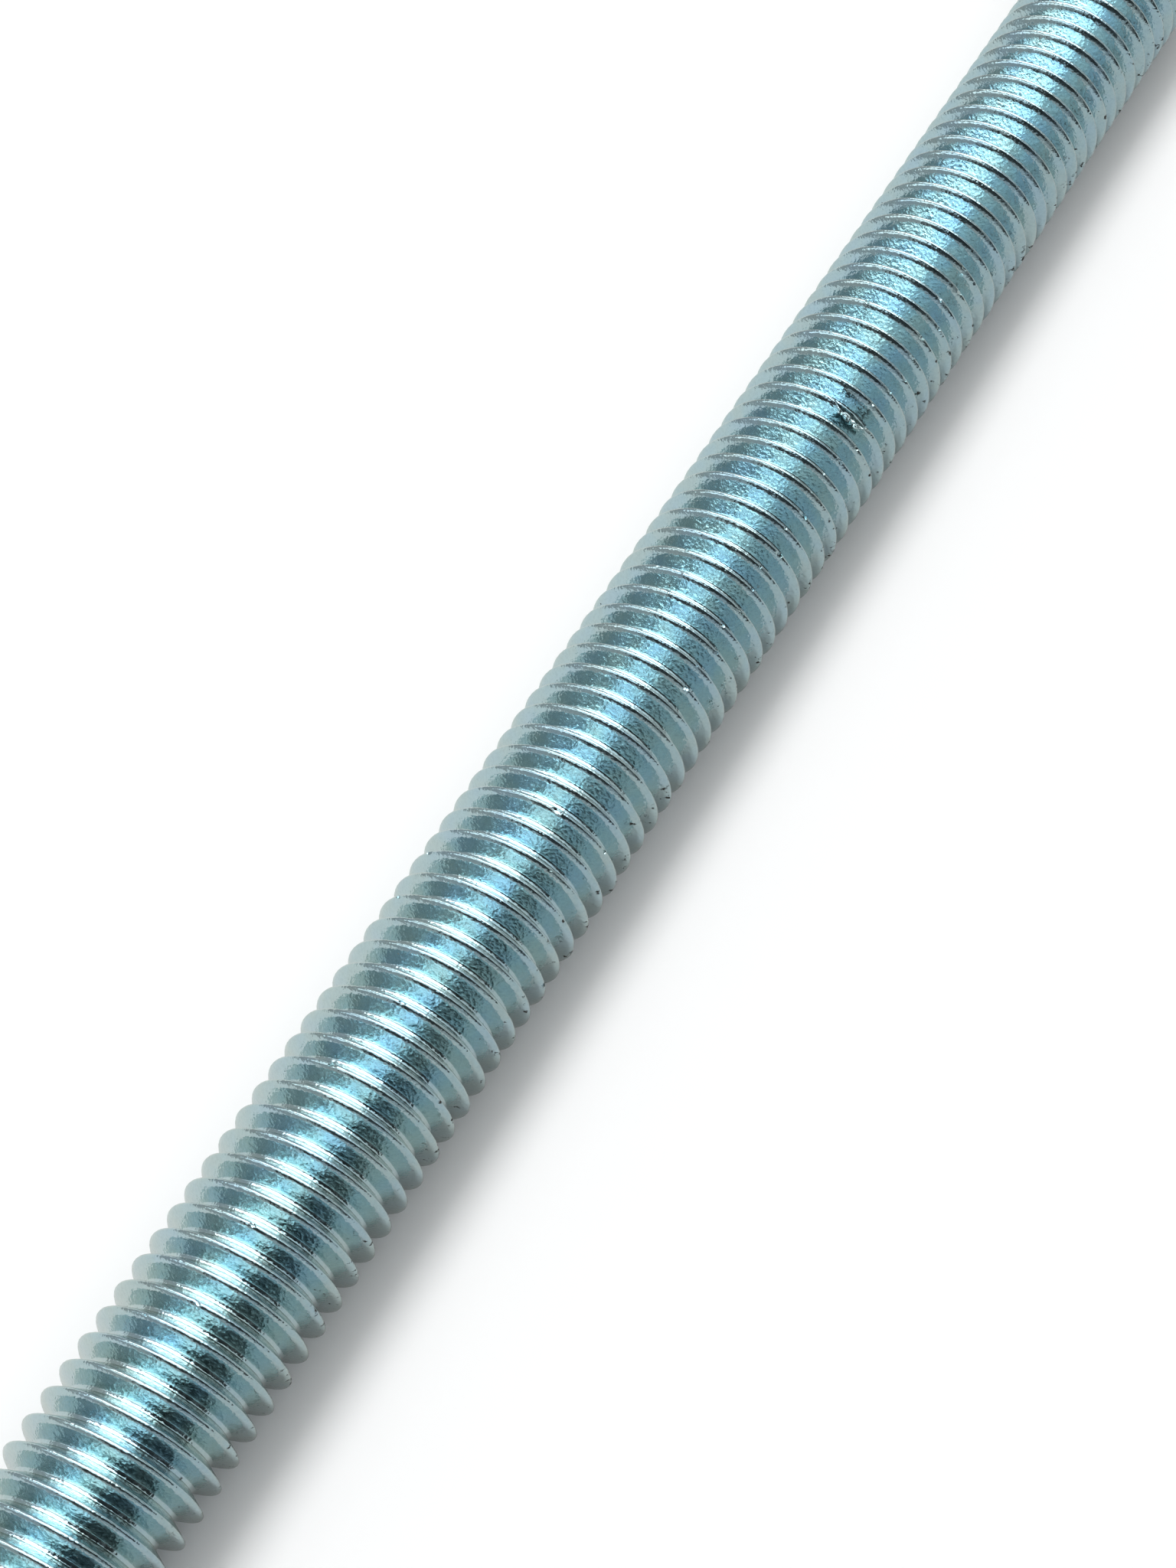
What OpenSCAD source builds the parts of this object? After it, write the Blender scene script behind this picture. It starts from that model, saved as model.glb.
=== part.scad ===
// Threaded rod: a plain length of steel rod with a right-hand metric thread from end to end.
// It lies along X with its axis on the X axis and the middle of its length at the origin.
// All sizes are in millimetres.

/* [Thread] */
// Nominal diameter of the thread
thread_d = 8; // [6:0.5:12]
// Advance of the thread in one turn
pitch = 1.25; // [0.8:0.05:1.75]
// Angle between the two flanks of a groove
flank_angle = 60; // [55:1:65]
// How much smaller than the nominal diameter the crests measure across the rod
crest_allowance = 0.1; // [0:0.02:0.2]

/* [Rod] */
// Length from end face to end face
rod_length = 110; // [20:5:200]
// How far the chamfer reaches below the bottom of the thread at each end face
chamfer_bite = 0.3; // [0.1:0.05:0.6]
// Slope of the chamfer, measured from the end face
chamfer_angle = 40; // [25:5:60]

/* [Finish] */
// Largest number of triangles in the helical surface
facet_budget = 11500; // [6000:500:12000]

/* [Hidden] */

zinc = [0.68, 0.76, 0.80];

// ISO metric form: flat crests an eighth of a pitch wide, and a groove 17/24 of the sharp triangle deep
crest_w = pitch / 8;
thread_depth = 17 / 24 * pitch * cos(30);
flank_w = thread_depth * tan(flank_angle / 2);
crest_r = (thread_d - crest_allowance) / 2;
root_r = crest_r - thread_depth;

// One pitch of the thread form, as [place along the rod, radius] at each of its corners
FORM = [
    [0, root_r],
    [flank_w, crest_r],
    [flank_w + crest_w, crest_r],
    [flank_w + crest_w + flank_w, root_r]
];
corners = len(FORM);

// The surface is a net of points: steps go round the rod, and rows climb it along the helix
turns = ceil(rod_length / pitch);
triangles_per_step = 2 * corners * turns;
fewest_steps = 6;
steps = max(fewest_steps, 2 * floor(facet_budget / triangles_per_step / 2));
last_row = corners * (turns + 2) - 1;
end_face_r = root_r - chamfer_bite;

// A length rounded to the nearest thousandth of a millimetre, so that equal heights compare as equal
function whole_microns(length) = round(length * 1000) / 1000;

// Height of a point before the two end faces trim the thread
function free_height(step, row) =
    whole_microns(pitch * (floor(row / corners) - 1 + step / steps) + FORM[row % corners].x);

function trimmed_height(step, row) = max(0, min(rod_length, free_height(step, row)));

// Radius of the chamfer cone at a height
function chamfer_r(height) =
    end_face_r + min(height, rod_length - height) * tan(90 - chamfer_angle);

function surface_r(step, row) =
    min(FORM[row % corners].y, chamfer_r(trimmed_height(step, row)));

function surface_point(step, row) =
    let (angle = 360 * step / steps, r = surface_r(step, row))
    [r * cos(angle), r * sin(angle), trimmed_height(step, row)];

// At each step round the rod, the rows that make the rim of the lower and of the upper end face
LOWER_RIM = [for (step = [0 : steps - 1])
    max([for (row = [0 : last_row]) if (free_height(step, row) <= 0) row])];
UPPER_RIM = [for (step = [0 : steps - 1])
    min([for (row = [0 : last_row]) if (free_height(step, row) >= rod_length) row])];

// Number of a point; rows past an end face share the point on its rim, and a full turn climbs one pitch
function point_number(step, row) =
    step == steps
        ? point_number(0, row + corners)
        : step * (last_row + 1) + max(LOWER_RIM[step], min(UPPER_RIM[step], row));

function is_triangle(t) = t[0] != t[1] && t[1] != t[2] && t[2] != t[0];

module threaded_body() {
    points = [for (step = [0 : steps - 1], row = [0 : last_row]) surface_point(step, row)];
    sides = [
        for (step = [0 : steps - 1], row = [0 : last_row - 1])
        let (
            near = point_number(step, row),
            far = point_number(step + 1, row),
            far_up = point_number(step + 1, row + 1),
            near_up = point_number(step, row + 1)
        )
        for (triangle = [[near, near_up, far_up], [near, far_up, far]])
            if (is_triangle(triangle)) triangle
    ];
    lower_face = [for (step = [0 : steps - 1]) point_number(step, 0)];
    upper_face = [for (step = [steps - 1 : -1 : 0]) point_number(step, last_row)];
    polyhedron(points = points, faces = concat(sides, [lower_face, upper_face]), convexity = 4);
}

module rod() {
    color(zinc)
        rotate([0, 90, 0])
            translate([0, 0, -rod_length / 2])
                threaded_body();
}

rod();
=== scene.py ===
"""Threaded rod: a bright zinc-plated M8 stud lying level on white paper, seen close from above one end."""
import math
import random

import bpy
import numpy as np
from mathutils import Matrix, Vector


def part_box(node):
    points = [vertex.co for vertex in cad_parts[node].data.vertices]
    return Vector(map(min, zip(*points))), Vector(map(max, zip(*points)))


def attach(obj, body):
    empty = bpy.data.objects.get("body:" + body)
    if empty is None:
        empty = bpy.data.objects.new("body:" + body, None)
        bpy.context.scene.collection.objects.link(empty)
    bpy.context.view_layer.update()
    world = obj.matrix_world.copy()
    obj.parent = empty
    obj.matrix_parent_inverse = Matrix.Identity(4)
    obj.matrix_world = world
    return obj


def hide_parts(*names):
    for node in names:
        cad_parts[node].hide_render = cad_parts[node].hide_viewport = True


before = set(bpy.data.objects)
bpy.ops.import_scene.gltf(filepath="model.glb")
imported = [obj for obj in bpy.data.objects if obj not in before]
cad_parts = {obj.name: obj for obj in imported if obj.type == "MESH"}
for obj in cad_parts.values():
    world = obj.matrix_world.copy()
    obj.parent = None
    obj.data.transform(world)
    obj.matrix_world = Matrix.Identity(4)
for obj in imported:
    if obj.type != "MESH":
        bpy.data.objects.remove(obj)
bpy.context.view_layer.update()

# ---------------------------------------------------------------- sizes, in metres

MM = 0.001
ROD_LOW, ROD_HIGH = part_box("rod")
ROD_LENGTH = ROD_HIGH.x - ROD_LOW.x
CREST_R = ROD_HIGH.z
PITCH = 1.25 * MM
# Straight below the axis, the middle of the solid's first crest is this far from the end face
FIRST_CREST = (17 / 48 + 1 / 16) * PITCH
END_FACE_R = 2.883 * MM
CHAMFER_SLOPE = math.radians(50)

# The rolled form on each side of a crest: places along the rod from its top, in mm, and the slope there, in
# degrees. The side that faces the near end has a tight tip on a broad shoulder, and the other side turns over
# in one arc.
NEAR_SIDE = ((0, 0), (0.015, 19), (0.04, 29), (0.08, 40), (0.14, 50.5), (0.23, 62.7), (0.505, 64.2),
             (0.535, 38), (0.565, 18.5), (0.6, 4), (0.656, 0))
FAR_SIDE = ((0, 0), (0.04, 8), (0.075, 27), (0.113, 64), (0.528, 60.5), (0.545, 19), (0.563, 0), (0.594, 0))
# A height is the sum of this many slopes between two of the places
FORM_FINENESS = 60

# Steps of the helical surface round one turn. It starts some turns before the rod and has some turns to spare
STEPS_PER_TURN = 60
TURNS_BEFORE = 2
TURNS_OUTSIDE = 3

FLOOR_Z = ROD_LOW.z
FLOOR_SIZE = 4
# The thread is first cut off this far past the ends, and the bar that it is then fitted to clears its crests by
# as much
CUT_MARGIN = 0.4 * MM
WELD_GAP = 0.001 * MM
BLANK_SIDES = 96
# Edges that turn more than this stay crisp
SHARP_ANGLE = math.radians(32)
# How much a face's direction lies along the rod: over the first in a flank, over the second in an end
FLANK_LEAN = math.sin(math.radians(59))
END_LEAN = math.sin(math.radians(80))

# Wear, in mm from the near end and degrees round the axis from straight up towards -Y
DENT_GROUP = "main_dent"
MAIN_DENT_MM = 68.7
MAIN_DENT_DEGREES = 34
MAIN_DENT_HALF_ANGLE = 17
MAIN_DENT_HALF_LENGTH = 0.5 * MM
# The struck metal lies mostly on the side of the crest that faces the near end
MAIN_DENT_SHIFT = 0.18 * MM
# How deep below the crest it reaches, how often its faces are cut, and how far its metal goes along and inwards
MAIN_DENT_REACH = 0.6 * MM
MAIN_DENT_CUTS = 3
MAIN_DENT_PUSH = 0.45 * MM
MAIN_DENT_DEPTH = 0.22 * MM
TORN_METAL_SIZE = 0.25 * MM
TORN_METAL_HEIGHT = 0.55 * MM
TORN_METAL_LAYERS = 2
NICK_PLACES = (
    (15, -17), (16, 5), (20, 6), (27.5, -9), (31, 5), (35.5, -47), (38, -46), (37, 85), (40, 35), (42, 17),
    (43, 60), (55, -3), (56, -20), (57, -9), (66, 1), (70, -11), (75, -3), (78, -15),
)
# Between these places every crest has a small knock on the same side
NICK_ROW_MM = (51, 81)
NICK_ROW_DEGREES = 45
NICK_ROW_SCATTER = 7
NICK_SIZE = 0.11 * MM
NICK_SIZE_RANGE = (0.6, 1.4)
# A nick's centre may lie this far to either side of the crest line, in mm
NICK_SHIFT_MM = (-0.05, 0.03)
# The largest tilt of a nick, in radians
NICK_TILT = 0.5
# How far a nick is drawn out along the rod, round it and in depth
NICK_STRETCH = ((0.8, 1.3), (0.9, 2.2), (0.5, 0.9))
NICK_RAGGEDNESS = 0.35
NICK_SEED = 7

# The camera looks down along the rod from above its near end
CAMERA_PLACE = Vector((-68.66, -34.41, 106.7)) * MM
CAMERA_AIM = Vector((-8.61, -0.45, 0)) * MM
CAMERA_LENS_MM = 65.5
CAMERA_SENSOR_MM = 36
CAMERA_NEAREST = 1 * MM

# Each softbox: name, degrees it leans off straight up towards -Y, degrees it leans towards +X, turn about its
# own axis, half its width across and along the rod in degrees as seen from the rod, and its brightness
LAMP_DISTANCE = 1.0
SOFTBOXES = (
    ("overhead_softbox", -4, 10, 20, 30, 17.5, 2.8),
    ("overhead_strip", -25, 13, 7, 28, 8.5, 2.8),
    ("end_softbox", 3, 48, 16, 17, 8.5, 1.8),
    ("end_strip", 17, 73, 7, 52, 4, 0.9),
    ("low_end_panel", 63, 84, 61, 12.5, 22, 1.1),
    ("side_strip", 43, 24, 13, 61, 14, 0.6),
    ("back_strip", -4, -34, 8, 55, 10, 1.15),
)

# The softboxes light the metal only. The paper has lamps of its own, the stronger one behind the rod as seen
# from -Y
PAPER_LAMPS = (
    ("paper_key", -18, 0, 0, 10.5, 25, 5.0),
    ("paper_fill", 0, 0, 0, 40, 40, 0.5),
)

# Dark cards just behind the camera: name, then in mm how far the centre is to the right of the camera and
# above it, the width and the height, and the colour
FLAG_BEHIND = 1 * MM
FLAGS = (
    ("black_flag", 5, -66, 230, 72, "#454545"),
    ("small_black_flag", 82, 5, 175, 78, "#303030"),
)

# The room beyond the lamps is brighter on one side: degrees its bright side leans towards -Y and +X, half the
# width of the change from dim to bright, and both levels
ROOM_LEAN = (-26, -22)
ROOM_CHANGE = 0.15
ROOM_DIM = 0.03
ROOM_BRIGHT = 0.4
ROOM_WHITE = "#FFFFFF"

# ---------------------------------------------------------------- colours and finish

# A pattern's scale is how often it changes in a metre, and a range is where it starts and is complete

# The film's colours, each with the level of the drift at which it shows
FILM_GREEN, FILM_GREEN_AT = "#B4D0D5", 0.36
FILM_TEAL, FILM_TEAL_AT = "#AED0DA", 0.5
FILM_BLUE, FILM_BLUE_AT = "#ABCEDE", 0.64
FILM_DRIFT = {"Scale": 0.6 / MM, "Detail": 2}
LOW_ANGLE_GREY = "#D6DED4"
LOW_ANGLE_BLEND = 0.35

# The crystals are too small to see one by one: the mottle is drawn at the size of their clusters
MOTTLE = {"Scale": 6.5 / MM, "Detail": 1, "Roughness": 0.4}
MOTTLE_DEPTH = 0.019 * MM
GRAINS = {"Scale": 7 / MM, "Detail": 2, "Roughness": 0.7}
GRAIN_RANGE = {"From Min": 0.42, "From Max": 0.68}
GRAIN_GREY = "#5F7C8A"
GRAIN_STRENGTH = 0.12

STREAKS_PER_MM = 40
STREAK_BREAKS_PER_MM = 0.4
STREAK_SLANT = 0.5
STREAK_LAYERS = 2
STREAK_DEPTH = 0.002 * MM

DULL_PATCHES = {"Scale": 3 / MM, "Detail": 3}
DULL_RANGE = {"From Min": 0.35, "From Max": 0.65}
BRIGHT_ROUGHNESS = 0.08
DULL_ROUGHNESS = 0.17

DIRT_SPECKS = {"Scale": 2.2 / MM, "Detail": 4, "Roughness": 0.6}
DIRT_RANGE = {"From Min": 0.71, "From Max": 0.76}
DIRT_BROWN = "#3B3A36"
# Over this stretch of Y the specks grow more frequent
SPECKS_DENSER_SPAN_Y = {"From Min": -3.1 * MM, "From Max": -3.8 * MM}
SPECKS_MORE_TOWARDS_MINUS_Y = 0.1

PAPER_WHITE = "#FDFDFD"
# The paper as the metal sees it is painted shade: darker than the camera's white, and darkest towards -Y, where
# the rod's shadow lies. Over this stretch of Y it turns from the one tone to the other
PAPER_IN_METAL_PAINTED_SHADE = "#C9C9C9"
PAPER_IN_METAL_PAINTED_LIT_SIDE = "#E2E2E2"
PAPER_PAINTED_SHADE_CHANGE = {"From Min": -8 * MM, "From Max": 8 * MM}

# ---------------------------------------------------------------- small helpers

def srgb(hex_colour):
    """A colour written as sRGB hex, as linear RGBA."""
    parts = [int(hex_colour[i:i + 2], 16) / 255 for i in (1, 3, 5)]
    linear = [p / 12.92 if p <= 0.04045 else ((p + 0.055) / 1.055) ** 2.4 for p in parts]
    return (*linear, 1)


def add_node(tree, kind, settings=None, links=None, values=None):
    """Adds a node: settings are its properties, links come from other sockets, values are its own sockets."""
    node = tree.nodes.new(kind)
    for name, value in (settings or {}).items():
        setattr(node, name, value)
    for socket, value in (values or {}).items():
        node.inputs[socket].default_value = value
    for socket, source in (links or {}).items():
        tree.links.new(source, node.inputs[socket])
    return node


def deselect_all():
    """Leaves no object selected or active, so that the next operator works on its own object only."""
    bpy.ops.object.select_all(action="DESELECT")
    bpy.context.view_layer.objects.active = None


def apply_modifier(obj, kind, **settings):
    """Puts a modifier on an object and applies it at once."""
    deselect_all()
    obj.select_set(True)
    bpy.context.view_layer.objects.active = obj
    modifier = obj.modifiers.new(kind.title(), kind)
    for name, value in settings.items():
        setattr(modifier, name, value)
    bpy.ops.object.modifier_apply(modifier=modifier.name)


# ---------------------------------------------------------------- the rod

def heights(form):
    """The form's points as (place along the rod, radius). Between two points its slope changes evenly."""
    points = [(0, 0)]
    for (start, start_slope), (end, end_slope) in zip(form, form[1:]):
        slopes = np.radians(np.linspace(start_slope, end_slope, FORM_FINENESS))
        points.append((end * MM, points[-1][1] - float(np.tan(slopes).mean()) * (end - start) * MM))
    return points


def thread_form():
    """One pitch of the thread as (place along the rod, radius), from the bottom of one groove to the next."""
    near, far = heights(NEAR_SIDE), heights(FAR_SIDE)
    # Both sides end at the bottom of the groove: what is left of a rounding error goes to the far side
    match = near[-1][1] / far[-1][1]
    rising = [(-away, CREST_R + drop) for away, drop in reversed(near)]
    falling = [(away, CREST_R + drop * match) for away, drop in far[1:]]
    return rising + falling


def make_thread():
    """The helical surface, longer than the rod, made by screwing one pitch of the form round the X axis."""
    form = thread_form()
    turns = round(ROD_LENGTH / PITCH) + TURNS_OUTSIDE
    first_crest_x = ROD_LOW.x + FIRST_CREST - TURNS_BEFORE * PITCH
    deselect_all()
    bpy.ops.mesh.primitive_plane_add(size=PITCH)
    rod = bpy.context.object
    bpy.ops.object.mode_set(mode="EDIT")
    bpy.ops.mesh.select_all(action="SELECT")
    bpy.ops.mesh.merge(type="CENTER")
    # The solid's helix starts straight below the axis and climbs towards +Y
    bpy.ops.transform.translate(value=(first_crest_x + form[0][0], 0, -form[0][1]))
    for (x0, r0), (x1, r1) in zip(form, form[1:]):
        bpy.ops.mesh.extrude_region_move(TRANSFORM_OT_translate={"value": (x1 - x0, 0, r0 - r1)})
    bpy.ops.object.mode_set(mode="OBJECT")
    apply_modifier(
        rod, "SCREW", axis="X", angle=2 * math.pi, screw_offset=PITCH, iterations=turns,
        steps=STEPS_PER_TURN, render_steps=STEPS_PER_TURN, use_merge_vertices=True, merge_threshold=WELD_GAP,
        use_smooth_shade=False,
    )
    return rod


def close_thread(rod):
    """Welds the turns together and cuts both ragged ends off square, a little past the rod's ends."""
    bpy.ops.object.mode_set(mode="EDIT")
    bpy.ops.mesh.select_all(action="SELECT")
    bpy.ops.mesh.remove_doubles(threshold=WELD_GAP)
    for end_x, outward in ((ROD_LOW.x - CUT_MARGIN, -1), (ROD_HIGH.x + CUT_MARGIN, 1)):
        bpy.ops.mesh.select_all(action="SELECT")
        bpy.ops.mesh.bisect(
            plane_co=(end_x, 0, 0), plane_no=(outward, 0, 0), use_fill=True, clear_outer=True,
            threshold=WELD_GAP,
        )
    bpy.ops.mesh.select_all(action="SELECT")
    bpy.ops.mesh.normals_make_consistent(inside=False)
    bpy.ops.object.mode_set(mode="OBJECT")


def make_blank():
    """The round bar that the ends are turned to: square end faces inside a chamfer."""
    blank_r = CREST_R + CUT_MARGIN
    chamfer_length = (blank_r - END_FACE_R) / math.tan(CHAMFER_SLOPE)
    deselect_all()
    bpy.ops.mesh.primitive_cylinder_add(
        vertices=BLANK_SIDES, radius=blank_r, depth=ROD_LENGTH - 2 * chamfer_length,
        rotation=(0, math.pi / 2, 0),
    )
    blank = bpy.context.object
    bpy.ops.object.transform_apply(location=True, rotation=True, scale=True)
    for outward in (-1, 1):
        bpy.ops.object.mode_set(mode="EDIT")
        bpy.ops.mesh.select_all(action="DESELECT")
        bpy.ops.object.mode_set(mode="OBJECT")
        for face in blank.data.polygons:
            face.select = face.normal.x * outward > END_LEAN
        bpy.ops.object.mode_set(mode="EDIT")
        bpy.ops.mesh.extrude_region_move(TRANSFORM_OT_translate={"value": (outward * chamfer_length, 0, 0)})
        bpy.ops.transform.resize(value=(1, END_FACE_R / blank_r, END_FACE_R / blank_r))
        bpy.ops.object.mode_set(mode="OBJECT")
    return blank


def degrees_round(place):
    """Degrees round the axis, from straight up towards -Y."""
    return math.degrees(math.atan2(-place.y, place.z))


def crest_near(from_end_mm, degrees):
    """The point on the crest line at this many degrees that is nearest to a distance from the near end."""
    turn = (180 + degrees) / 360
    number = round((from_end_mm * MM - FIRST_CREST) / PITCH - turn)
    lean = math.radians(degrees)
    along = ROD_LOW.x + FIRST_CREST + (number + turn) * PITCH
    return Vector((along, -CREST_R * math.sin(lean), CREST_R * math.cos(lean)))


def dent_share(place, centre):
    """How far a point takes part in the main dent: 1 in its middle, 0 outside it."""
    round_part = abs(degrees_round(place) - MAIN_DENT_DEGREES) / MAIN_DENT_HALF_ANGLE
    along_part = abs(place.x - centre.x + MAIN_DENT_SHIFT) / MAIN_DENT_HALF_LENGTH
    root_r = CREST_R - MAIN_DENT_REACH
    depth_part = max(0, math.hypot(place.y, place.z) - root_r) / MAIN_DENT_REACH
    share = max(0, 1 - round_part ** 2) * max(0, 1 - along_part ** 2) * depth_part
    return min(1, share)


def press_main_dent(rod):
    """One crest was struck: its metal is pushed towards the near end and torn ragged."""
    centre = crest_near(MAIN_DENT_MM, MAIN_DENT_DEGREES)
    deselect_all()
    rod.select_set(True)
    bpy.context.view_layer.objects.active = rod
    bpy.ops.object.mode_set(mode="EDIT")
    bpy.ops.mesh.select_all(action="DESELECT")
    bpy.ops.object.mode_set(mode="OBJECT")
    for face in rod.data.polygons:
        face.select = dent_share(face.center, centre) > 0
    bpy.ops.object.mode_set(mode="EDIT")
    bpy.ops.mesh.subdivide(number_cuts=MAIN_DENT_CUTS)
    bpy.ops.object.mode_set(mode="OBJECT")
    group = rod.vertex_groups.new(name=DENT_GROUP)
    for vertex in rod.data.vertices:
        share = dent_share(vertex.co, centre)
        if share > 0:
            group.add([vertex.index], share, "REPLACE")
    ragged = bpy.data.textures.new("torn_metal", "CLOUDS")
    ragged.noise_scale = TORN_METAL_SIZE
    ragged.noise_depth = TORN_METAL_LAYERS
    push = {"vertex_group": DENT_GROUP, "mid_level": 0}
    apply_modifier(rod, "DISPLACE", direction="X", strength=-MAIN_DENT_PUSH, **push)
    apply_modifier(rod, "DISPLACE", direction="NORMAL", strength=-MAIN_DENT_DEPTH, **push)
    apply_modifier(rod, "DISPLACE", direction="NORMAL", strength=TORN_METAL_HEIGHT, texture=ragged,
                   texture_coords="LOCAL", vertex_group=DENT_GROUP)
    bpy.data.textures.remove(ragged)
    rod.vertex_groups.clear()


def cut_nicks(rod):
    """Small knocks on the crests, cut out with rough little stones that are all one mesh.

    The first stone only starts that mesh: it lies clear below the rod and cuts nothing.
    """
    dice = random.Random(NICK_SEED)
    places = list(NICK_PLACES)
    first, last = NICK_ROW_MM
    row = round((last - first) * MM / PITCH)
    for number in range(row):
        scatter = dice.uniform(-NICK_ROW_SCATTER, NICK_ROW_SCATTER)
        places.append((first + number * PITCH / MM, NICK_ROW_DEGREES + scatter))
    deselect_all()
    bpy.ops.mesh.primitive_ico_sphere_add(subdivisions=1, radius=NICK_SIZE, location=(0, 0, -2 * CREST_R))
    stones = bpy.context.object
    bpy.ops.object.mode_set(mode="EDIT")
    for number, (from_end_mm, degrees) in enumerate(places):
        big = dice.uniform(*NICK_SIZE_RANGE)
        centre = crest_near(from_end_mm, degrees) + Vector((dice.uniform(*NICK_SHIFT_MM) * MM, 0, 0))
        tilts = [dice.uniform(-NICK_TILT, NICK_TILT) for _ in range(2)]
        bpy.ops.mesh.select_all(action="DESELECT")
        bpy.ops.mesh.primitive_ico_sphere_add(
            subdivisions=2, radius=NICK_SIZE * big, location=centre,
            rotation=(math.radians(degrees), *tilts),
            scale=[dice.uniform(*limits) for limits in NICK_STRETCH],
        )
        bpy.ops.transform.vertex_random(offset=NICK_SIZE * big * NICK_RAGGEDNESS, seed=number)
    bpy.ops.object.mode_set(mode="OBJECT")
    apply_modifier(rod, "BOOLEAN", operation="DIFFERENCE", solver="MANIFOLD", object=stones)
    bpy.data.objects.remove(stones)


def make_rod():
    """The thread with its wear, turned to its length and chamfered."""
    rod = make_thread()
    close_thread(rod)
    press_main_dent(rod)
    blank = make_blank()
    apply_modifier(rod, "BOOLEAN", operation="INTERSECT", solver="MANIFOLD", object=blank)
    bpy.data.objects.remove(blank)
    cut_nicks(rod)
    rod.name = "zinc_threaded_rod"
    rod.data.name = rod.name
    return rod


def finish_surface(rod):
    """Shades the roundings smooth, while the flanks keep the true direction of their own faces."""
    deselect_all()
    rod.select_set(True)
    bpy.context.view_layer.objects.active = rod
    bpy.ops.object.mode_set(mode="EDIT")
    bpy.ops.mesh.select_all(action="DESELECT")
    bpy.ops.object.mode_set(mode="OBJECT")
    for face in rod.data.polygons:
        face.select = FLANK_LEAN < abs(face.normal.x) < END_LEAN
    bpy.ops.object.mode_set(mode="EDIT")
    bpy.ops.mesh.mod_weighted_strength(set=True, face_strength="STRONG")
    bpy.ops.object.mode_set(mode="OBJECT")
    bpy.ops.object.shade_smooth_by_angle(angle=SHARP_ANGLE)
    apply_modifier(rod, "WEIGHTED_NORMAL", mode="CORNER_ANGLE", keep_sharp=True, use_face_influence=True)


rod = make_rod()
finish_surface(rod)
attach(rod, "root")
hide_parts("rod")

# ---------------------------------------------------------------- the zinc

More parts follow.
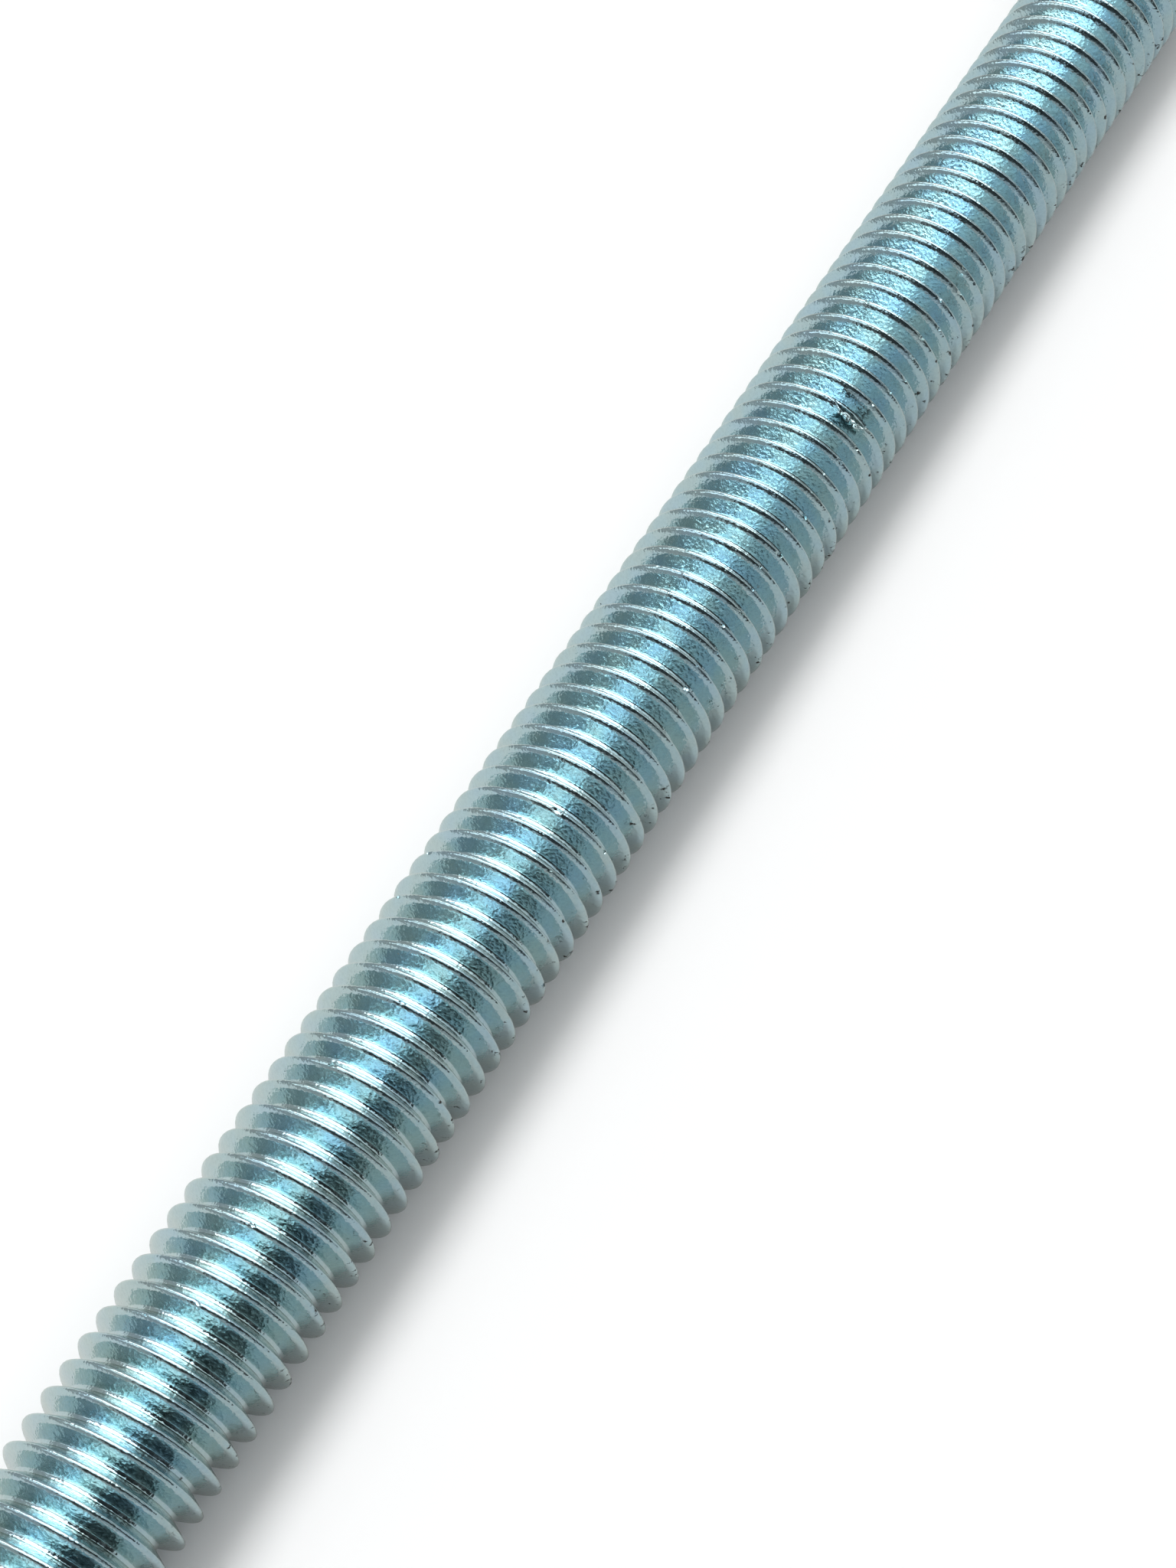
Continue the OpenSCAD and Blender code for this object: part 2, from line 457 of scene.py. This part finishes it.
def make_zinc():
    """Blue-passivated zinc plate, electroplated on a rolled steel thread.

    The eye sees a bright cold metal with a blue-green film that drifts from place to place, a fine mottle
    where the crystals of the plate break up each reflection, faint streaks left along the thread by the
    rolling dies, and paler, greyer edges where it is seen at a low angle. Grey-brown dirt sits in spots.
    """
    material = bpy.data.materials.new("blue_passivated_zinc_on_rolled_steel")
    material.use_nodes = True
    tree = material.node_tree
    shader = tree.nodes["Principled BSDF"]
    place = add_node(tree, "ShaderNodeTexCoord").outputs["Object"]

    # The film drifts between blue and greenish grey over one to three millimetres
    drift = add_node(tree, "ShaderNodeTexNoise", None, {"Vector": place}, FILM_DRIFT)
    film = add_node(tree, "ShaderNodeValToRGB", None, {"Fac": drift.outputs["Fac"]})
    ramp = film.color_ramp
    ramp.elements[0].position = FILM_GREEN_AT
    ramp.elements[0].color = srgb(FILM_GREEN)
    ramp.elements[1].position = FILM_BLUE_AT
    ramp.elements[1].color = srgb(FILM_BLUE)
    ramp.elements.new(FILM_TEAL_AT).color = srgb(FILM_TEAL)
    facing = add_node(tree, "ShaderNodeLayerWeight", None, None, {"Blend": LOW_ANGLE_BLEND})
    paler = add_node(tree, "ShaderNodeMix", {"data_type": "RGBA"},
                     {"Factor": facing.outputs["Facing"], "A": film.outputs["Color"]},
                     {"B": srgb(LOW_ANGLE_GREY)})

    # Single clusters of crystals are darker than the rest
    grains = add_node(tree, "ShaderNodeTexNoise", None, {"Vector": place}, GRAINS)
    grain_share = add_node(tree, "ShaderNodeMapRange", None, {"Value": grains.outputs["Fac"]},
                           {**GRAIN_RANGE, "To Max": GRAIN_STRENGTH})
    grainy = add_node(tree, "ShaderNodeMix", {"data_type": "RGBA", "blend_type": "MULTIPLY"},
                      {"Factor": grain_share.outputs["Result"], "A": paler.outputs["Result"]},
                      {"B": srgb(GRAIN_GREY)})

    # Streaks lie along the thread: they change fast with the distance from the axis and slowly round it
    apart = add_node(tree, "ShaderNodeSeparateXYZ", None, {"Vector": place})
    across_axis = add_node(tree, "ShaderNodeCombineXYZ", None,
                           {"Y": apart.outputs["Y"], "Z": apart.outputs["Z"]})
    radius = add_node(tree, "ShaderNodeVectorMath", {"operation": "LENGTH"},
                      {0: across_axis.outputs["Vector"]})
    far_out = add_node(tree, "ShaderNodeMath", {"operation": "MULTIPLY"}, {0: radius.outputs["Value"]},
                       {1: STREAKS_PER_MM / MM})
    round_y = add_node(tree, "ShaderNodeMath", {"operation": "MULTIPLY"}, {0: apart.outputs["Y"]},
                       {1: STREAK_BREAKS_PER_MM / MM})
    along = add_node(tree, "ShaderNodeMath", {"operation": "MULTIPLY_ADD"},
                     {0: apart.outputs["Z"], 2: apart.outputs["X"]}, {1: STREAK_SLANT})
    round_z = add_node(tree, "ShaderNodeMath", {"operation": "MULTIPLY"}, {0: along.outputs["Value"]},
                       {1: STREAK_BREAKS_PER_MM / MM / STREAK_SLANT})
    streak_place = add_node(tree, "ShaderNodeCombineXYZ", None, {
        "X": far_out.outputs["Value"], "Y": round_y.outputs["Value"], "Z": round_z.outputs["Value"]})
    streaks = add_node(tree, "ShaderNodeTexNoise", None, {"Vector": streak_place.outputs["Vector"]},
                       {"Scale": 1, "Detail": STREAK_LAYERS})
    mottle = add_node(tree, "ShaderNodeTexNoise", None, {"Vector": place}, MOTTLE)
    bumps = add_node(tree, "ShaderNodeBump", None, {"Height": mottle.outputs["Fac"]},
                     {"Strength": 1, "Distance": MOTTLE_DEPTH})
    marks = add_node(tree, "ShaderNodeBump", None,
                     {"Height": streaks.outputs["Fac"], "Normal": bumps.outputs["Normal"]},
                     {"Strength": 1, "Distance": STREAK_DEPTH})

    # Small patches are duller than others
    dullness = add_node(tree, "ShaderNodeTexNoise", None, {"Vector": place}, DULL_PATCHES)
    rough = add_node(tree, "ShaderNodeMapRange", None, {"Value": dullness.outputs["Fac"]},
                     {**DULL_RANGE, "To Min": BRIGHT_ROUGHNESS, "To Max": DULL_ROUGHNESS})

    # Grey-brown dirt sits in specks, and the specks grow more frequent towards the -Y side
    specks = add_node(tree, "ShaderNodeTexNoise", None, {"Vector": place}, DIRT_SPECKS)
    specks_more_towards_minus_y = add_node(tree, "ShaderNodeMapRange", None, {"Value": apart.outputs["Y"]},
                          {**SPECKS_DENSER_SPAN_Y, "To Max": SPECKS_MORE_TOWARDS_MINUS_Y})
    dirt_level = add_node(tree, "ShaderNodeMath", {"operation": "ADD"},
                          {0: specks.outputs["Fac"], 1: specks_more_towards_minus_y.outputs["Result"]})
    dirt = add_node(tree, "ShaderNodeMapRange", None, {"Value": dirt_level.outputs["Value"]}, DIRT_RANGE)
    soiled = add_node(tree, "ShaderNodeMix", {"data_type": "RGBA"},
                      {"Factor": dirt.outputs["Result"], "A": grainy.outputs["Result"]},
                      {"B": srgb(DIRT_BROWN)})
    metal_share = add_node(tree, "ShaderNodeMath", {"operation": "SUBTRACT"},
                           {1: dirt.outputs["Result"]}, {0: 1})
    dulled = add_node(tree, "ShaderNodeMath", {"operation": "MAXIMUM"},
                      {0: rough.outputs["Result"], 1: dirt.outputs["Result"]})

    tree.links.new(soiled.outputs["Result"], shader.inputs["Base Color"])
    tree.links.new(dulled.outputs["Value"], shader.inputs["Roughness"])
    tree.links.new(marks.outputs["Normal"], shader.inputs["Normal"])
    tree.links.new(metal_share.outputs["Value"], shader.inputs["Metallic"])
    return material


rod.data.materials.clear()
rod.data.materials.append(make_zinc())

# ---------------------------------------------------------------- the paper

def make_paper():
    """Smooth white paper.

    The eye sees plain white with no grain. In the metal it shows painted shade: darker, most of all on the -Y
    side.
    """
    material = bpy.data.materials.new("paper")
    material.use_nodes = True
    tree = material.node_tree
    tree.nodes.clear()
    light_path = add_node(tree, "ShaderNodeLightPath")
    place = add_node(tree, "ShaderNodeTexCoord").outputs["Object"]
    apart = add_node(tree, "ShaderNodeSeparateXYZ", None, {"Vector": place})
    # Painted shade for rays that come from the metal: darker paper, darkest on the -Y side, where the rod's
    # shadow lies
    side = add_node(tree, "ShaderNodeMapRange", None, {"Value": apart.outputs["Y"]}, PAPER_PAINTED_SHADE_CHANGE)
    paper_in_metal_painted_shade = add_node(tree, "ShaderNodeMix", {"data_type": "RGBA"}, {"Factor": side.outputs["Result"]},
                        {"A": srgb(PAPER_IN_METAL_PAINTED_SHADE), "B": srgb(PAPER_IN_METAL_PAINTED_LIT_SIDE)})
    tone = add_node(tree, "ShaderNodeMix", {"data_type": "RGBA"},
                    {"Factor": light_path.outputs["Is Camera Ray"], "A": paper_in_metal_painted_shade.outputs["Result"]},
                    {"B": srgb(PAPER_WHITE)})
    diffuse = add_node(tree, "ShaderNodeBsdfDiffuse", None, {"Color": tone.outputs["Result"]})
    add_node(tree, "ShaderNodeOutputMaterial", None, {"Surface": diffuse.outputs[0]})
    return material


bpy.ops.mesh.primitive_plane_add(size=FLOOR_SIZE, location=(0, 0, FLOOR_Z))
floor = bpy.context.object
floor.name = "paper_floor"
floor.data.materials.append(make_paper())

# ---------------------------------------------------------------- light and camera

def direction(lean_side, lean_end):
    """The direction from the rod that leans so many degrees towards -Y and +X off straight up."""
    side, end = math.radians(lean_side), math.radians(lean_end)
    return Vector((math.sin(end), -math.cos(end) * math.sin(side), math.cos(end) * math.cos(side)))


def add_softbox(name, lean_side, lean_end, turn, half_across, half_along, brightness):
    """A square-cornered lamp that faces the rod. All its angles are in degrees, as seen from the rod."""
    towards = direction(lean_side, lean_end)
    side = math.radians(lean_side)
    across = Vector((0, -math.cos(side), -math.sin(side)))
    along = towards.cross(across)
    turn = math.radians(turn)
    wide = math.cos(turn) * across + math.sin(turn) * along
    tall = towards.cross(wide)
    size_x = 2 * LAMP_DISTANCE * math.tan(math.radians(half_across))
    size_y = 2 * LAMP_DISTANCE * math.tan(math.radians(half_along))
    bpy.ops.object.light_add(type="AREA", location=towards * LAMP_DISTANCE)
    lamp = bpy.context.object
    lamp.name = name
    lamp.data.shape = "RECTANGLE"
    lamp.data.size = size_x
    lamp.data.size_y = size_y
    lamp.data.energy = brightness * math.pi * size_x * size_y
    basis = Matrix((wide, tall, towards)).transposed()
    lamp.rotation_euler = basis.to_euler()
    return lamp


for softbox in SOFTBOXES:
    add_softbox(*softbox).visible_diffuse = False
for softbox in PAPER_LAMPS:
    add_softbox(*softbox).visible_glossy = False


def add_flag(name, right_mm, up_mm, width_mm, height_mm, colour):
    """A dark card that faces the way the camera does, placed as seen from it. Only the metal shows it."""
    looking = (CAMERA_AIM - CAMERA_PLACE).normalized()
    right = looking.cross(Vector((0, 0, 1))).normalized()
    up = right.cross(looking)
    bpy.ops.mesh.primitive_plane_add(size=1)
    flag = bpy.context.object
    flag.name = name
    flag.scale = (width_mm * MM, height_mm * MM, 1)
    flag.rotation_euler = Matrix((right, up, -looking)).transposed().to_euler()
    flag.location = CAMERA_PLACE + right_mm * MM * right + up_mm * MM * up - FLAG_BEHIND * looking
    bpy.ops.object.transform_apply(location=True, rotation=True, scale=True)
    flag.visible_camera = False
    flag.visible_diffuse = False
    flag.visible_shadow = False
    black = bpy.data.materials.new("black_card")
    black.use_nodes = True
    black.node_tree.nodes.clear()
    diffuse = add_node(black.node_tree, "ShaderNodeBsdfDiffuse", None, None, {"Color": srgb(colour)})
    add_node(black.node_tree, "ShaderNodeOutputMaterial", None, {"Surface": diffuse.outputs[0]})
    flag.data.materials.append(black)


for flag in FLAGS:
    add_flag(*flag)


def make_room():
    """The room's soft light, brighter on one side. The camera sees plain white where the paper ends."""
    world = bpy.data.worlds.new("studio")
    bpy.context.scene.world = world
    world.use_nodes = True
    tree = world.node_tree
    tree.nodes.clear()
    towards = add_node(tree, "ShaderNodeTexCoord").outputs["Generated"]
    lean = add_node(tree, "ShaderNodeVectorMath", {"operation": "DOT_PRODUCT"}, {0: towards},
                    {1: direction(*ROOM_LEAN)})
    level = add_node(tree, "ShaderNodeMapRange", {"interpolation_type": "SMOOTHSTEP"},
                     {"Value": lean.outputs["Value"]},
                     {"From Min": -ROOM_CHANGE, "From Max": ROOM_CHANGE,
                      "To Min": ROOM_DIM, "To Max": ROOM_BRIGHT})
    seen = add_node(tree, "ShaderNodeLightPath")
    shown = add_node(tree, "ShaderNodeMath", {"operation": "MAXIMUM"},
                     {0: level.outputs["Result"], 1: seen.outputs["Is Camera Ray"]})
    background = add_node(tree, "ShaderNodeBackground", None, {"Strength": shown.outputs["Value"]},
                          {"Color": srgb(ROOM_WHITE)})
    add_node(tree, "ShaderNodeOutputWorld", None, {"Surface": background.outputs[0]})


def place_camera():
    """Sets the camera up and looks through it."""
    bpy.ops.object.camera_add(location=CAMERA_PLACE)
    camera = bpy.context.object
    camera.rotation_euler = (CAMERA_AIM - CAMERA_PLACE).to_track_quat("-Z", "Y").to_euler()
    camera.data.lens = CAMERA_LENS_MM
    camera.data.sensor_width = CAMERA_SENSOR_MM
    camera.data.clip_start = CAMERA_NEAREST
    bpy.context.scene.camera = camera
    bpy.context.scene.view_settings.view_transform = "Standard"


make_room()
place_camera()
